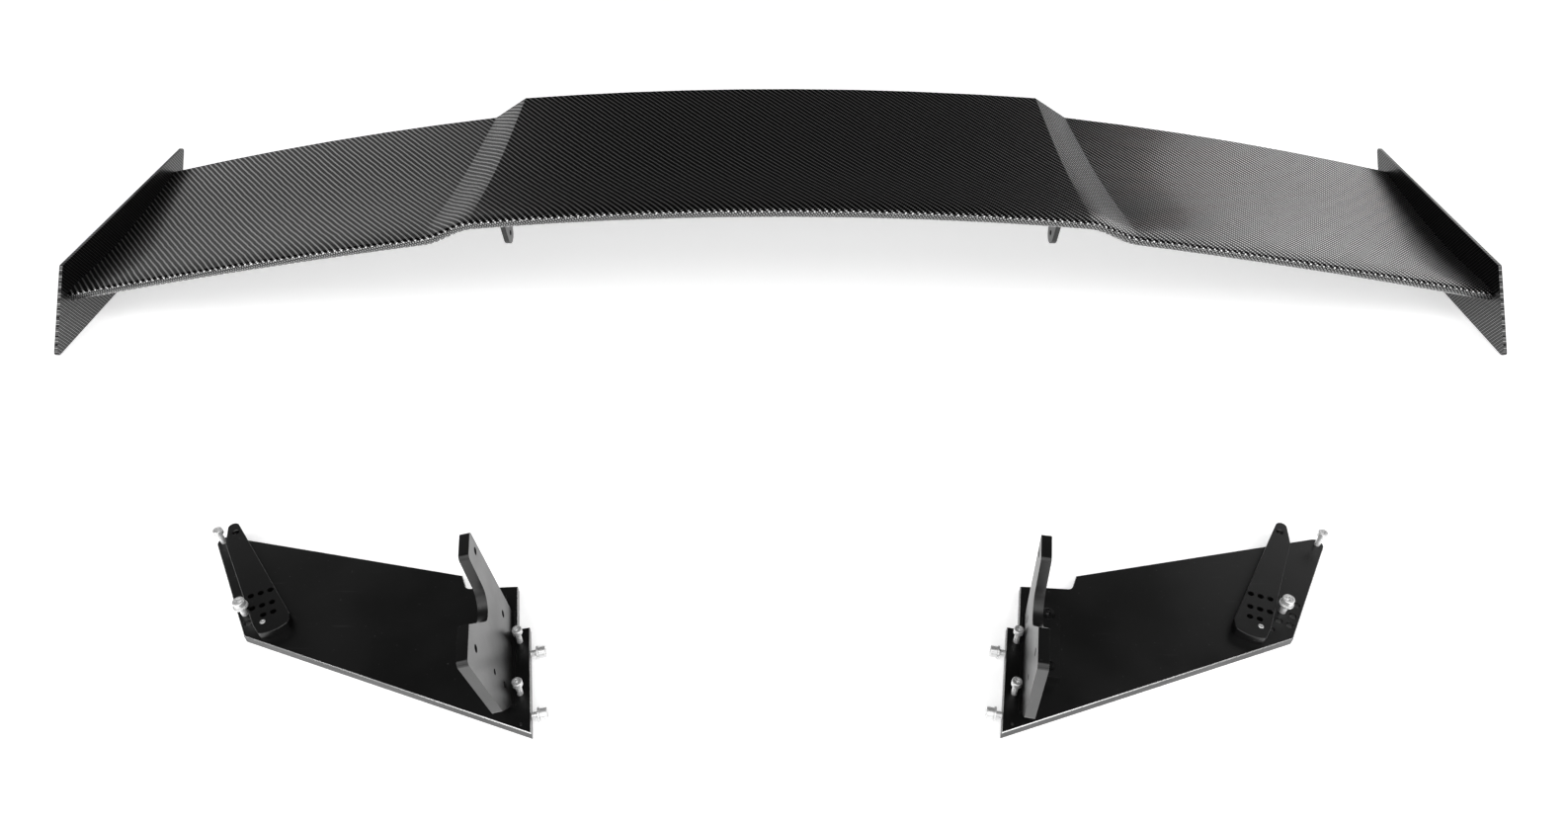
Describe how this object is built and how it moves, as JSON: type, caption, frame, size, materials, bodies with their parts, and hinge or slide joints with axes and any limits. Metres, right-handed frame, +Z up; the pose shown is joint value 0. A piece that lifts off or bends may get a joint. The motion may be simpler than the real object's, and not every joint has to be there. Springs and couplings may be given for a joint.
{
  "type": "racing rear wing",
  "caption": "Gull-shaped carbon racing rear wing on slanted end plates, laid out with a mirrored pair of flat stands that carry forked feet and swinging adjuster arms.",
  "frame": {"origin": "middle of the floor rectangle under the whole kit, at floor height", "axes": "+X along the span to the wing's right end, +Y from the stands to the wing's trailing edge, +Z up"},
  "size_m": [1.7, 0.892, 0.1784],
  "materials": {
    "carbon_skin": "2x2 twill carbon fibre under clear gloss resin",
    "carbon_plate": "flat carbon fibre laminate with a satin clear coat",
    "spar_carbon": "uncoated carbon fibre laminate",
    "rib_resin": "machined resin board",
    "bare_aluminium": "machined aluminium",
    "black_anodised": "satin black anodised aluminium with bright broken edges",
    "black_steel": "blackened steel",
    "stainless": "bare stainless steel",
    "brass_insert": "machined brass"
  },
  "bodies": {
    "wing": {"blade_upper_skin": "carbon_skin", "blade_lower_skin": "carbon_skin", "front_spar": "spar_carbon", "rear_spar": "spar_carbon", "end_rib_left": "rib_resin", "mount_block_left": "bare_aluminium", "mount_tab_left": "black_anodised", "tab_screws_left": "black_steel", "end_plate_left": "carbon_plate", "end_plate_screws_left": "black_steel", "rib_inserts_left": "brass_insert", "end_rib_right": "rib_resin", "mount_block_right": "bare_aluminium", "mount_tab_right": "black_anodised", "tab_screws_right": "black_steel", "end_plate_right": "carbon_plate", "end_plate_screws_right": "black_steel", "rib_inserts_right": "brass_insert"},
    "left_stand": {"stand_plate_left": "black_anodised", "arm_pivot_pin_left": "stainless", "corner_bolt_left": "stainless", "arm_lock_bolt_left": "stainless", "margin_bolts_left": "stainless", "bolt_washers_left": "stainless", "base_bolts_left": "stainless", "base_bolt_washers_left": "stainless", "foot_bracket_left": "black_anodised", "foot_screws_left": "black_steel"},
    "left_arm": {"adjuster_arm_left": "black_anodised", "arm_tip_bush_left": "stainless"},
    "right_stand": {"stand_plate_right": "black_anodised", "arm_pivot_pin_right": "stainless", "corner_bolt_right": "stainless", "arm_lock_bolt_right": "stainless", "margin_bolts_right": "stainless", "bolt_washers_right": "stainless", "base_bolts_right": "stainless", "base_bolt_washers_right": "stainless", "foot_bracket_right": "black_anodised", "foot_screws_right": "black_steel"},
    "right_arm": {"adjuster_arm_right": "black_anodised", "arm_tip_bush_right": "stainless"}
  },
  "joints": [
    {"name": "left_stand_lift", "type": "slide", "parent": "wing", "child": "left_stand", "axis": [0, 0, 1], "range_m": [0, 0.25]},
    {"name": "left_arm_swing", "type": "hinge", "parent": "left_stand", "child": "left_arm", "pos_m": [-0.44375, -0.32819, 0.01], "axis": [0, 0, 1], "range_deg": [-30, 0.5]},
    {"name": "right_stand_lift", "type": "slide", "parent": "wing", "child": "right_stand", "axis": [0, 0, 1], "range_m": [0, 0.25]},
    {"name": "right_arm_swing", "type": "hinge", "parent": "right_stand", "child": "right_arm", "pos_m": [0.40987, -0.33284, 0.01], "axis": [0, 0, 1], "range_deg": [-5, 30]}
  ]
}
